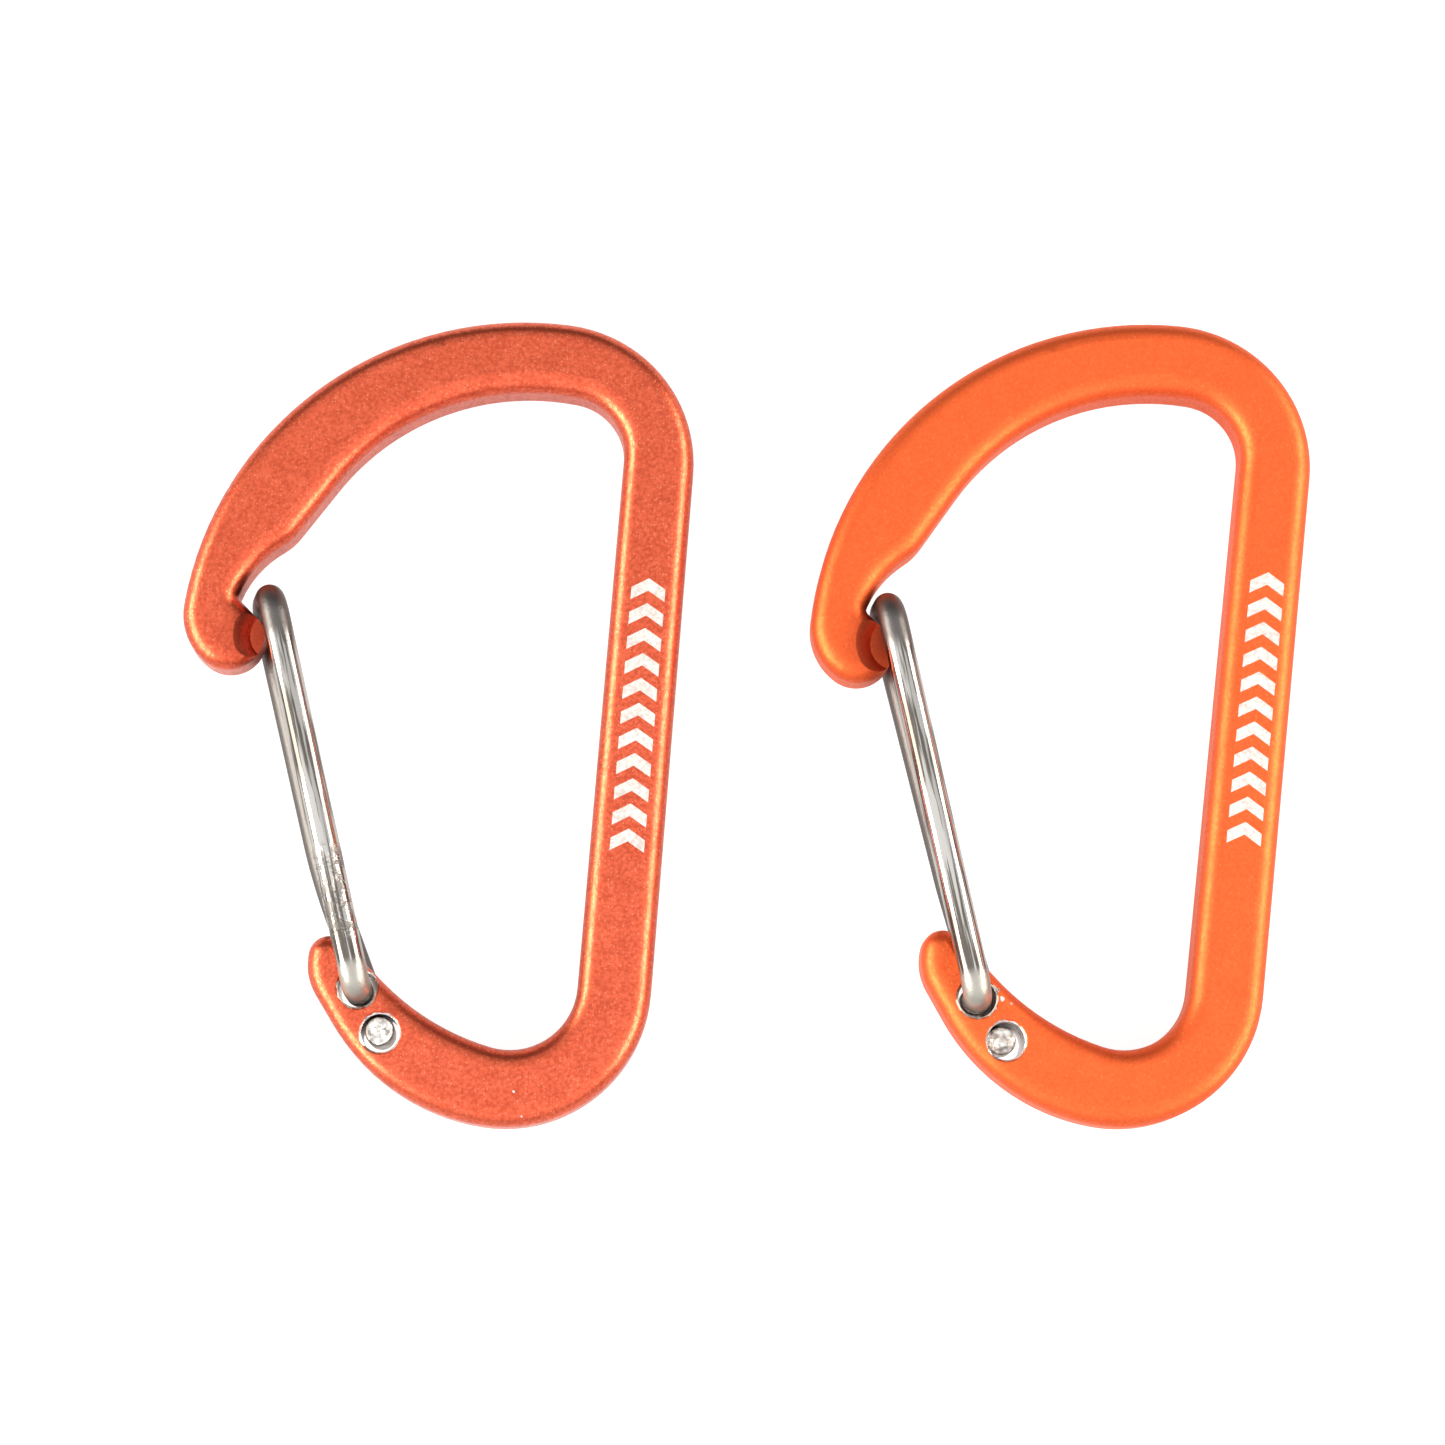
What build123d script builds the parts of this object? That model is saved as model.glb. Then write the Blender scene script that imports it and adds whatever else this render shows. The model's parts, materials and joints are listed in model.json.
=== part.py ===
from build123d import *
import os
from dataclasses import dataclass

# A pair of small wire-gate carabiners lying side by side on a table. Sizes are in mm.
#
# Row frame: +X across the pair, +Y towards the hooks' crowns, +Z up off the table. The
# origin is on the table, under the middle of the pair.
#
# Each carabiner is drawn on its own plane, through the middle of its thickness: x is 0 at
# the spine's outer wall and falls towards the gate, y is 0 at the foot of the lower bow,
# and z points to the front face. A frame is one forging. A gate is one bent wire, made
# here as two rigid halves that meet at the crest, a front leg and a rear leg, because the
# legs turn about different holes and the wire flexes between them.

# ---- frame forging ---------------------------------------------------------------------
THICKNESS = 5.0
EDGE_ROUND = 1.4
SPINE_TOP_WIDTH = 5.22
SPINE_FOOT_WIDTH = 5.37

# Outer wall above the spine: crown, long back of the hook, nose and its underside.
CROWN_START_Y = 49.52
CROWN_R, CROWN_TURN = 10.52, 89.0
BACK_R, BACK_TURN = 25.27, 88.9
NOSE_R, NOSE_TURN = 4.60, 59.5
UNDER_R, UNDER_TURN = 2.62, 105.6
TONGUE_SIDE = 1.45

# Inner wall above the spine, as far as the notch that the gate's crest closes into.
SEAT_START_Y = 50.25
SEAT_R, SEAT_TURN = 4.34, 85.6
INNER_BACK_R, INNER_BACK_TURN = 17.85, 63.6
INNER_STRAIGHT = 4.57
BUMP_R, BUMP_TURN = 4.70, 21.3
THROAT_R, THROAT_TURN = 7.5, 38.5

# Lower bow, outer and inner wall, out to the tip that carries the gate's hinge holes.
FOOT_START_Y = 10.91
FOOT_R, FOOT_TURN = 10.58, 94.1
ARM_R, ARM_TURN = 15.40, 50.5
ARM_STRAIGHT = 2.48
HEEL_R, HEEL_TURN = 4.26, 40.9
CRADLE_START_Y = 10.82
CRADLE_R, CRADLE_TURN = 4.89, 101.7
ARM_TOP_R, ARM_TOP_TURN = 18.07, 29.0
ARM_TOP_REACH = 12.0

TONGUE_TIP_R = 1.7
NOTCH_R = 0.45
HINGE_TIP_R = 1.5

# The pocket sunk into each face of the nose leaves a thin tongue between the gate's legs.
POCKET_RIM_R = 3.0
POCKET_FLOOR_R = 1.85
POCKET_DEPTH = 1.3
POCKET_BELOW_CREST = 2.9

HOLE_R = 1.375
HOLE_CHAMFER = 0.2

# ---- gate wire -------------------------------------------------------------------------
WIRE_R = 1.05
LEG_HEIGHT_AT_HINGE = 3.72
LEG_HEIGHT_AT_CREST = 2.85
HINGE_BEND_R = 1.6
CREST_BEND_R = 1.8
KNEE_BEND_R = 45.0
KNEE_PLACE = 0.30
KNEE_HEIGHT = 3.45
CREST_OVERRUN = 0.1
CREST_GAP = 0.02
FRONT_PIN_END = -1.9
REAR_PIN_OFFSET = 0.2

# ---- how the pair lies -----------------------------------------------------------------
# The legs stand proud of the frame, so a carabiner lies on its rear leg and its crown.
REST_PITCH = -2.11
REST_ROLL = 1.66
REST_HEIGHT = 4.447


@dataclass(frozen=True)
class Carabiner:
    """One carabiner of the pair: how it lies and what sets it apart from its twin."""

    side: str
    corner: tuple[float, float]
    yaw: float
    hook_lean: float
    front_hole: tuple[float, float]
    rear_hole: tuple[float, float]
    crest: tuple[float, float]
    crest_twist: float
    knee_offset: float
    rear_pin_end: float

    @property
    def place(self) -> Plane:
        """The plane through the middle of the carabiner's thickness, as it lies."""
        tipped = Plane((*self.corner, REST_HEIGHT)).rotated((REST_PITCH, REST_ROLL, 0))
        return tipped.rotated((0, 0, self.yaw))

    def at(self, point: Vector) -> Vector:
        """The row frame's coordinates of a point on this carabiner."""
        return self.place.from_local_coords(point)

    @property
    def pocket(self) -> Vector:
        """The nose pocket's centre, on the line from the crest to the front hole."""
        crest = Vector(*self.crest)
        down = (Vector(*self.front_hole) - crest).normalized()
        return crest + down * POCKET_BELOW_CREST

    @property
    def rear_pin(self) -> Vector:
        """The rear pin's axis, pushed by the spring towards the front hole."""
        rear = Vector(*self.rear_hole)
        return rear + (Vector(*self.front_hole) - rear).normalized() * REAR_PIN_OFFSET

    @property
    def knee(self) -> Vector:
        """Where the rear leg stops running beside the front leg and turns to its hole."""
        foot = Vector(*self.front_hole)
        along = foot + (Vector(*self.crest) - foot) * KNEE_PLACE
        return along - Vector(self.knee_offset, 0)


LEFT = Carabiner(
    side="left",
    corner=(-7.98, -30.96),
    yaw=-4.47,
    hook_lean=-1.98,
    front_hole=(-21.18, 9.42),
    rear_hole=(-19.25, 6.34),
    crest=(-30.50, 37.55),
    crest_twist=0.45,
    knee_offset=0.67,
    rear_pin_end=1.9,
)
RIGHT = Carabiner(
    side="right",
    corner=(36.04, -31.28),
    yaw=-6.31,
    hook_lean=1.98,
    front_hole=(-20.73, 8.42),
    rear_hole=(-18.36, 5.60),
    crest=(-30.14, 36.40),
    crest_twist=0.10,
    knee_offset=-0.5,
    rear_pin_end=0.3,
)


def frame_forging(carabiner: Carabiner) -> Part:
    """The one-piece hook: bent bar, pocketed nose and the two hinge holes."""
    place = carabiner.place
    lean = carabiner.hook_lean
    with BuildPart() as frame:
        with BuildSketch(place.offset(-THICKNESS / 2)) as profile:
            with BuildLine():
                spine = Line((0, FOOT_START_Y), (0, CROWN_START_Y))
                crown = JernArc(spine @ 1, spine % 1, CROWN_R, CROWN_TURN + lean)
                back = JernArc(crown @ 1, crown % 1, BACK_R, BACK_TURN)
                nose = JernArc(back @ 1, back % 1, NOSE_R, NOSE_TURN)
                under = JernArc(nose @ 1, nose % 1, UNDER_R, UNDER_TURN)
                tongue_side = Line(under @ 1, under @ 1 + (under % 1) * TONGUE_SIDE)

                inner = Line((-SPINE_FOOT_WIDTH, CRADLE_START_Y), (-SPINE_TOP_WIDTH, SEAT_START_Y))
                seat = JernArc(inner @ 1, inner % 1, SEAT_R, SEAT_TURN + lean)
                inner_back = JernArc(seat @ 1, seat % 1, INNER_BACK_R, INNER_BACK_TURN)
                straight = Line(inner_back @ 1, inner_back @ 1 + (inner_back % 1) * INNER_STRAIGHT)
                bump = JernArc(straight @ 1, straight % 1, BUMP_R, -BUMP_TURN)
                throat = JernArc(bump @ 1, bump % 1, THROAT_R, THROAT_TURN)
                Line(throat @ 1, tongue_side @ 1)

                foot = JernArc(spine @ 0, -(spine % 0), FOOT_R, -FOOT_TURN)
                arm = JernArc(foot @ 1, foot % 1, ARM_R, -ARM_TURN)
                arm_end = Line(arm @ 1, arm @ 1 + (arm % 1) * ARM_STRAIGHT)
                heel = JernArc(arm_end @ 1, arm_end % 1, HEEL_R, -HEEL_TURN)
                cradle = JernArc(inner @ 0, -(inner % 0), CRADLE_R, -CRADLE_TURN)
                arm_top = JernArc(cradle @ 1, cradle % 1, ARM_TOP_R, -ARM_TOP_TURN)
                far = arm_top @ 1 + (arm_top % 1) * ARM_TOP_REACH
                reach = Line(arm_top @ 1, far, mode=Mode.PRIVATE)
                tip_side = IntersectingLine(heel @ 1, heel % 1, reach)
                Line(tip_side @ 1, arm_top @ 1)
            make_face()
            for corner, radius in (
                (tip_side @ 1, HINGE_TIP_R),
                (tongue_side @ 1, TONGUE_TIP_R),
                (throat @ 1, NOTCH_R),
            ):
                fillet(profile.vertices().sort_by_distance(corner)[0], radius)
        extrude(amount=THICKNESS)
        faces = frame.faces().sort_by(Axis(place.origin, place.z_dir))
        fillet(faces[0].edges() + faces[-1].edges(), EDGE_ROUND)

        for side in (1, -1):
            with BuildSketch(place.offset(side * THICKNESS / 2)):
                with Locations(carabiner.pocket):
                    Circle(POCKET_RIM_R)
            with BuildSketch(place.offset(side * (THICKNESS / 2 - POCKET_DEPTH))):
                with Locations(carabiner.pocket):
                    Circle(POCKET_FLOOR_R)
            loft(mode=Mode.SUBTRACT)

        with BuildSketch(place):
            with Locations(carabiner.front_hole, carabiner.rear_hole):
                Circle(HOLE_R)
        extrude(amount=THICKNESS, both=True, mode=Mode.SUBTRACT)
        rims = frame.edges().filter_by(lambda edge: is_hole_rim(edge, place))
        chamfer(rims, HOLE_CHAMFER)
    frame.part.label = f"{carabiner.side}_frame"
    return frame.part


def is_hole_rim(edge: Edge, place: Plane) -> bool:
    """Whether an edge is the round rim of a hinge hole, on either face."""
    if edge.geom_type != GeomType.CIRCLE or abs(edge.radius - HOLE_R) > 1e-3:
        return False
    return abs(abs(place.to_local_coords(edge.arc_center).Z) - THICKNESS / 2) < 1e-3


def front_leg(carabiner: Carabiner) -> Part:
    """The front half of the gate wire: pin, hinge bend, leg and half of the crest."""
    foot = Vector(*carabiner.front_hole)
    crest = Vector(*carabiner.crest)
    top = Vector(carabiner.crest_twist, 0, LEG_HEIGHT_AT_CREST)
    at = carabiner.at
    with BuildPart() as leg:
        with BuildLine() as route:
            FilletPolyline(
                at(foot + Vector(0, 0, FRONT_PIN_END)),
                at(foot + Vector(0, 0, LEG_HEIGHT_AT_HINGE)),
                at(crest + top),
                at(crest - top * CREST_OVERRUN),
                radius=(HINGE_BEND_R, CREST_BEND_R),
            )
        with BuildSketch(Plane(route.wire() @ 0, z_dir=route.wire() % 0)):
            Circle(WIRE_R)
        sweep(path=route.wire())
        split(bisect_by=carabiner.place.offset(CREST_GAP / 2), keep=Keep.TOP)
    leg.part.label = f"{carabiner.side}_gate_front_leg"
    return leg.part


def rear_leg(carabiner: Carabiner) -> Part:
    """The rear half of the gate wire: half of the crest, kneed leg, bend and pin."""
    foot = carabiner.rear_pin
    crest = Vector(*carabiner.crest)
    top = Vector(carabiner.crest_twist, 0, LEG_HEIGHT_AT_CREST)
    at = carabiner.at
    with BuildPart() as leg:
        with BuildLine() as route:
            FilletPolyline(
                at(foot + Vector(0, 0, carabiner.rear_pin_end)),
                at(foot - Vector(0, 0, LEG_HEIGHT_AT_HINGE)),
                at(carabiner.knee - Vector(0, 0, KNEE_HEIGHT)),
                at(crest - top),
                at(crest + top * CREST_OVERRUN),
                radius=(HINGE_BEND_R, KNEE_BEND_R, CREST_BEND_R),
            )
        with BuildSketch(Plane(route.wire() @ 0, z_dir=route.wire() % 0)):
            Circle(WIRE_R)
        sweep(path=route.wire())
        split(bisect_by=carabiner.place.offset(-CREST_GAP / 2), keep=Keep.BOTTOM)
    leg.part.label = f"{carabiner.side}_gate_rear_leg"
    return leg.part


os.makedirs("parts", exist_ok=True)
for pair_half in (LEFT, RIGHT):
    for piece in (frame_forging(pair_half), front_leg(pair_half), rear_leg(pair_half)):
        export_step(piece, f"parts/{piece.label}.step")
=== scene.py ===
"""Looks for a pair of small wire-gate carabiners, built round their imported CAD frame.

The two hooks are forged, bead-blasted and dyed orange. Each gate is one bent spring wire
whose two ends sit in offset holes, so it is its own spring and its own hinge pins.
"""

import json
import logging
import math
from dataclasses import dataclass, field
from enum import Enum
from typing import Any

import bmesh
import bpy
from mathutils import Matrix, Vector, noise


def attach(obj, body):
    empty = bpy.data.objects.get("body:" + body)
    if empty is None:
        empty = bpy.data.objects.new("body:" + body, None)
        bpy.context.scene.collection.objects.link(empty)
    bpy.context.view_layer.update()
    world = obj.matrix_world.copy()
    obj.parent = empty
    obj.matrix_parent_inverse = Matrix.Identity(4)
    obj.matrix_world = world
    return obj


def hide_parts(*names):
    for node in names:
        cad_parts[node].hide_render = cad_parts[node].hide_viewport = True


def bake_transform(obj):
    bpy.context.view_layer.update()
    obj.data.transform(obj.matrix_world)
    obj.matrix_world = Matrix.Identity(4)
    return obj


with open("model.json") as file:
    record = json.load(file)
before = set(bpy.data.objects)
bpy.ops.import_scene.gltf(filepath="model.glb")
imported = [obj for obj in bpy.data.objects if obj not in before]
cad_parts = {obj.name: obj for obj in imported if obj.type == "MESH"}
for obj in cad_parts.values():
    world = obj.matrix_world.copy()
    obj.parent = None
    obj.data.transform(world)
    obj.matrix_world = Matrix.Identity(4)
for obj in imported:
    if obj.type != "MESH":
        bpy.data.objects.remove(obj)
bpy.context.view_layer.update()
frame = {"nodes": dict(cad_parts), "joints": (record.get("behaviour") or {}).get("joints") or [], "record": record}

LOG = logging.getLogger("carabiners")
MM = 0.001

Colour = tuple[float, float, float, float]
Spot = tuple[float, float, float]
Feeds = dict[int | str, Any]
Ring = list[bmesh.types.BMVert]


def rgba(red: float, green: float, blue: float) -> Colour:
    """A linear colour with full alpha."""
    return (red, green, blue, 1.0)


WHITE = rgba(1.0, 1.0, 1.0)


class Side(Enum):
    """Which carabiner of the pair, by the name that its CAD nodes start with."""

    LEFT = "left"
    RIGHT = "right"


# ---- node helpers ------------------------------------------------------------------


class Graph:
    """A node tree under construction."""

    def __init__(self, tree: bpy.types.NodeTree) -> None:
        """Starts on an existing tree.

        Args:
            tree: The shader or geometry tree that nodes are added to.
        """
        self.tree = tree

    def node(self, kind: str, inputs: Feeds | None = None, **settings: Any) -> bpy.types.Node:
        """Adds one node.

        Args:
            kind: Blender's identifier of the node.
            inputs: Socket name or index to a constant or to the socket that feeds it.
            **settings: The node's own properties.

        Returns:
            The new node.
        """
        made = self.tree.nodes.new(kind)
        for name, value in settings.items():
            setattr(made, name, value)
        self.feed(made, inputs or {})
        return made

    def feed(self, node: bpy.types.Node, inputs: Feeds) -> None:
        """Links or sets a node's inputs.

        Args:
            node: The node that is fed.
            inputs: Socket name or index to a constant or to the socket that feeds it.
        """
        for key, value in inputs.items():
            if isinstance(value, bpy.types.NodeSocket):
                self.tree.links.new(value, node.inputs[key])
            else:
                node.inputs[key].default_value = value

    def math(self, operation: str, first: Any, second: Any = 0.0) -> bpy.types.NodeSocket:
        """Adds a Math node and returns its value."""
        return self.node("ShaderNodeMath", {0: first, 1: second}, operation=operation).outputs[0]

    def vector_math(self, operation: str, first: Any, second: Any) -> bpy.types.NodeSocket:
        """Adds a Vector Math node and returns its vector."""
        made = self.node("ShaderNodeVectorMath", {0: first, 1: second}, operation=operation)
        return made.outputs["Vector"]

    def step(self, value: Any, low: Any, high: Any) -> bpy.types.NodeSocket:
        """A smooth rise of value from 0 at low to 1 at high."""
        made = self.node(
            "ShaderNodeMapRange",
            {"Value": value, "From Min": low, "From Max": high},
            interpolation_type="SMOOTHSTEP",
        )
        return made.outputs["Result"]

    def mix(self, factor: Any, first: Any, second: Any) -> bpy.types.NodeSocket:
        """A colour between first, at factor 0, and second, at factor 1."""
        made = self.node("ShaderNodeMix", {0: factor, 6: first, 7: second}, data_type="RGBA")
        return made.outputs[2]

    def blend_values(self, factor: Any, first: Any, second: Any) -> bpy.types.NodeSocket:
        """A number between first, at factor 0, and second, at factor 1."""
        made = self.node("ShaderNodeMix", {0: factor, 2: first, 3: second}, data_type="FLOAT")
        return made.outputs[0]

    def group(self, tree: bpy.types.NodeTree, inputs: Feeds) -> bpy.types.Node:
        """Adds a shader group with its inputs set."""
        return self.node("ShaderNodeGroup", inputs, node_tree=tree)


def new_group(
    name: str, kind: str, inputs: list[tuple[str, str]], outputs: list[tuple[str, str]]
) -> tuple[Graph, bpy.types.Node, bpy.types.Node]:
    """Makes an empty node group with named sockets.

    Args:
        name: The group's name.
        kind: ShaderNodeTree or GeometryNodeTree.
        inputs: Name and socket type of each input.
        outputs: Name and socket type of each output.

    Returns:
        The group's graph, its input node and its output node.
    """
    tree = bpy.data.node_groups.new(name, kind)
    for label, socket in inputs:
        tree.interface.new_socket(label, in_out="INPUT", socket_type=socket)
    for label, socket in outputs:
        tree.interface.new_socket(label, in_out="OUTPUT", socket_type=socket)
    graph = Graph(tree)
    return graph, graph.node("NodeGroupInput"), graph.node("NodeGroupOutput")


def grain_group() -> bpy.types.NodeTree:
    """The fine texture of a blasted surface.

    Returns:
        A shader group whose Size is in metres. Mottle is a soft tone from 0 to 1, Flecks
        marks the few grains that face the light, and Height is the relief for a bump.
    """
    broad_scale, broad_share = 0.16, 0.22
    cell_scale, cell_relief = 1.25, 0.35
    tone_low, tone_high = 0.33, 0.67
    core_low, core_high = 0.05, 0.4
    graph, given, result = new_group(
        "blasted_grain",
        "ShaderNodeTree",
        [("Vector", "NodeSocketVector"), ("Size", "NodeSocketFloat"), ("Fleck Share", "NodeSocketFloat")],
        [("Mottle", "NodeSocketFloat"), ("Flecks", "NodeSocketFloat"), ("Height", "NodeSocketFloat")],
    )
    place, size = given.outputs["Vector"], given.outputs["Size"]
    scale = graph.math("DIVIDE", 1.0, size)
    coarse = graph.node(
        "ShaderNodeTexNoise", {"Vector": place, "Scale": scale, "Detail": 3.0, "Roughness": 0.6}
    )
    patches = graph.math("MULTIPLY", scale, broad_scale)
    broad = graph.node("ShaderNodeTexNoise", {"Vector": place, "Scale": patches, "Detail": 2.0})
    grains = graph.math("MULTIPLY", scale, cell_scale)
    cells = graph.node("ShaderNodeTexVoronoi", {"Vector": place, "Scale": grains})
    tone = graph.blend_values(broad_share, coarse.outputs[0], broad.outputs[0])
    drawn = graph.node("ShaderNodeSeparateColor", {0: cells.outputs["Color"]}).outputs[0]
    rare = graph.math("GREATER_THAN", drawn, graph.math("SUBTRACT", 1.0, given.outputs["Fleck Share"]))
    core = graph.step(graph.math("SUBTRACT", 0.5, cells.outputs["Distance"]), core_low, core_high)
    raised = graph.math("MULTIPLY", core, cell_relief)
    graph.feed(
        result,
        {
            "Mottle": graph.step(tone, tone_low, tone_high),
            "Flecks": graph.math("MULTIPLY", rare, core),
            "Height": graph.math("ADD", coarse.outputs[0], raised),
        },
    )
    return graph.tree


def rim_group() -> bpy.types.NodeTree:
    """A ring or a spot with a ragged edge, for wear through a finish and for a soft patch of painted shade.

    Returns:
        A shader group in metres. Mask is 1 within Width of the circle of Radius about the
        Axis through Centre, and a Radius of 0 gives a spot. It fades over the Softness share
        of the Width.
    """
    jitter_per_metre = 2100.0
    graph, given, result = new_group(
        "wear_and_shade_rim",
        "ShaderNodeTree",
        [
            ("Vector", "NodeSocketVector"),
            ("Centre", "NodeSocketVector"),
            ("Axis", "NodeSocketVector"),
            ("Radius", "NodeSocketFloat"),
            ("Width", "NodeSocketFloat"),
            ("Ragged", "NodeSocketFloat"),
            ("Softness", "NodeSocketFloat"),
        ],
        [("Mask", "NodeSocketFloat")],
    )
    arm = graph.vector_math("SUBTRACT", given.outputs["Vector"], given.outputs["Centre"])
    flat = graph.vector_math("CROSS_PRODUCT", arm, given.outputs["Axis"])
    distance = graph.node("ShaderNodeVectorMath", {0: flat}, operation="LENGTH").outputs["Value"]
    off = graph.math("ABSOLUTE", graph.math("SUBTRACT", distance, given.outputs["Radius"]))
    jitter = graph.node(
        "ShaderNodeTexNoise", {"Vector": given.outputs["Vector"], "Scale": jitter_per_metre, "Detail": 2.0}
    )
    shift = graph.math("MULTIPLY", graph.math("SUBTRACT", jitter.outputs[0], 0.5), given.outputs["Ragged"])
    near = graph.math("DIVIDE", graph.math("ADD", off, shift), given.outputs["Width"])
    mask = graph.step(graph.math("SUBTRACT", 1.0, near), 0.0, given.outputs["Softness"])
    graph.feed(result, {"Mask": mask})
    return graph.tree


def scar_group() -> bpy.types.NodeTree:
    """Small nicks and scuffs in bare metal.

    Returns:
        A shader group in metres. Marks is 1 in a nick.
    """
    least, reach, edge = 0.86, 0.4, 0.05
    graph, given, result = new_group(
        "handling_scars",
        "ShaderNodeTree",
        [("Vector", "NodeSocketVector"), ("Size", "NodeSocketFloat"), ("Amount", "NodeSocketFloat")],
        [("Marks", "NodeSocketFloat")],
    )
    scale = graph.math("DIVIDE", 1.0, given.outputs["Size"])
    wear = graph.node(
        "ShaderNodeTexNoise",
        {
            "Vector": given.outputs["Vector"],
            "Scale": scale,
            "Detail": 4.0,
            "Roughness": 0.62,
            "Distortion": 0.8,
        },
    )
    limit = graph.math("SUBTRACT", least, graph.math("MULTIPLY", given.outputs["Amount"], reach))
    marks = graph.step(graph.math("SUBTRACT", wear.outputs[0], limit), 0.0, edge)
    graph.feed(result, {"Marks": marks})
    return graph.tree


@dataclass(frozen=True)
class Effects:
    """The shader groups that several finishes share."""

    grain: bpy.types.NodeTree = field(default_factory=grain_group)
    rim: bpy.types.NodeTree = field(default_factory=rim_group)
    scars: bpy.types.NodeTree = field(default_factory=scar_group)


class Surface:
    """A metal material under construction, with one Principled shader."""

    def __init__(self, name: str) -> None:
        """Makes the material.

        Args:
            name: The material's name.
        """
        self.material = bpy.data.materials.new(name)
        self.material.use_nodes = True
        self.graph = Graph(self.material.node_tree)
        self.place = self.graph.node("ShaderNodeTexCoord").outputs["Object"]

    def grain(self, effects: Effects, size: float, fleck_share: float) -> bpy.types.Node:
        """Adds the blasted texture.

        Args:
            effects: The shared shader groups.
            size: The grain's size in millimetres.
            fleck_share: The share of grains that are flecks.

        Returns:
            The group node.
        """
        inputs = {"Vector": self.place, "Size": size * MM, "Fleck Share": fleck_share}
        return self.graph.group(effects.grain, inputs)

    def finish(
        self, colour: Any, roughness: Any, height: Any, relief: float, metallic: float = 1.0
    ) -> bpy.types.Material:
        """Feeds the shader.

        Args:
            colour: The socket for the base colour.
            roughness: The socket for the roughness.
            height: The socket for the relief, from 0 to 1.
            relief: How high a relief of 1 stands, in millimetres.
            metallic: How much of a metal it is.

        Returns:
            The finished material.
        """
        shader = self.material.node_tree.nodes["Principled BSDF"]
        bump = self.graph.node(
            "ShaderNodeBump", {"Strength": 1.0, "Distance": relief * MM, "Height": height}
        )
        wanted = {
            "Base Color": colour,
            "Metallic": metallic,
            "Roughness": roughness,
            "Normal": bump.outputs[0],
        }
        self.graph.feed(shader, wanted)
        return self.material


# ---- how each carabiner lies -------------------------------------------------------


@dataclass(frozen=True)
class Lie:
    """One carabiner's own axes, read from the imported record, with sizes in millimetres.

    x is 0 at the spine's outer wall and falls towards the gate, y runs up the spine, and
    z is 0 at mid thickness and rises to the front face.
    """

    side: Side
    spine_mount_height: float = 30.0

    def joint(self, name: str) -> dict[str, Any]:
        """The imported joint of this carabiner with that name."""
        return next(j for j in frame["joints"] if j["name"] == f"{self.side.value}_{name}")

    @property
    def matrix(self) -> Matrix:
        """The carabiner's axes and origin as a matrix from millimetres to the row frame."""
        mounts = frame["record"]["mounts"]
        spine = next(m for m in mounts if m["name"] == f"{self.side.value}_spine_wall")
        z_axis = -Vector(self.joint("gate_open")["axis"]).normalized()
        x_axis = Vector(spine["axis"])
        x_axis = (x_axis - z_axis * x_axis.dot(z_axis)).normalized()
        y_axis = z_axis.cross(x_axis)
        origin = Vector(spine["pos_m"]) - y_axis * self.spine_mount_height * MM
        turn = Matrix((x_axis, y_axis, z_axis)).transposed() * MM
        return Matrix.Translation(origin) @ turn.to_4x4()

    def at(self, x: float, y: float, z: float = 0.0) -> Vector:
        """The row frame's place, in metres, of a point on this carabiner."""
        return self.matrix @ Vector((x, y, z))

    def local(self, point: Vector) -> Vector:
        """The carabiner's own coordinates, in millimetres, of a row frame point."""
        return self.matrix.inverted() @ point

    @property
    def across(self) -> Vector:
        """The direction out of the front face."""
        return -Vector(self.joint("gate_open")["axis"]).normalized()

    @property
    def front_hole(self) -> Vector:
        """The front leg's hole, in millimetres."""
        return self.local(Vector(self.joint("gate_open")["pos_m"]))

    @property
    def rear_hole(self) -> Vector:
        """The rear leg's hole, from the pivot that its flex turns about, in millimetres."""
        couplings = frame["record"]["behaviour"]["couplings"]
        lag = abs(next(c for c in couplings if c["joint"] == f"{self.side.value}_gate_flex")["ratio"])
        pivot = self.local(Vector(self.joint("gate_flex")["pos_m"]))
        return self.front_hole - (pivot - self.front_hole) * (lag / (1.0 - lag))


# ---- finishes ----------------------------------------------------------------------


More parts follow.
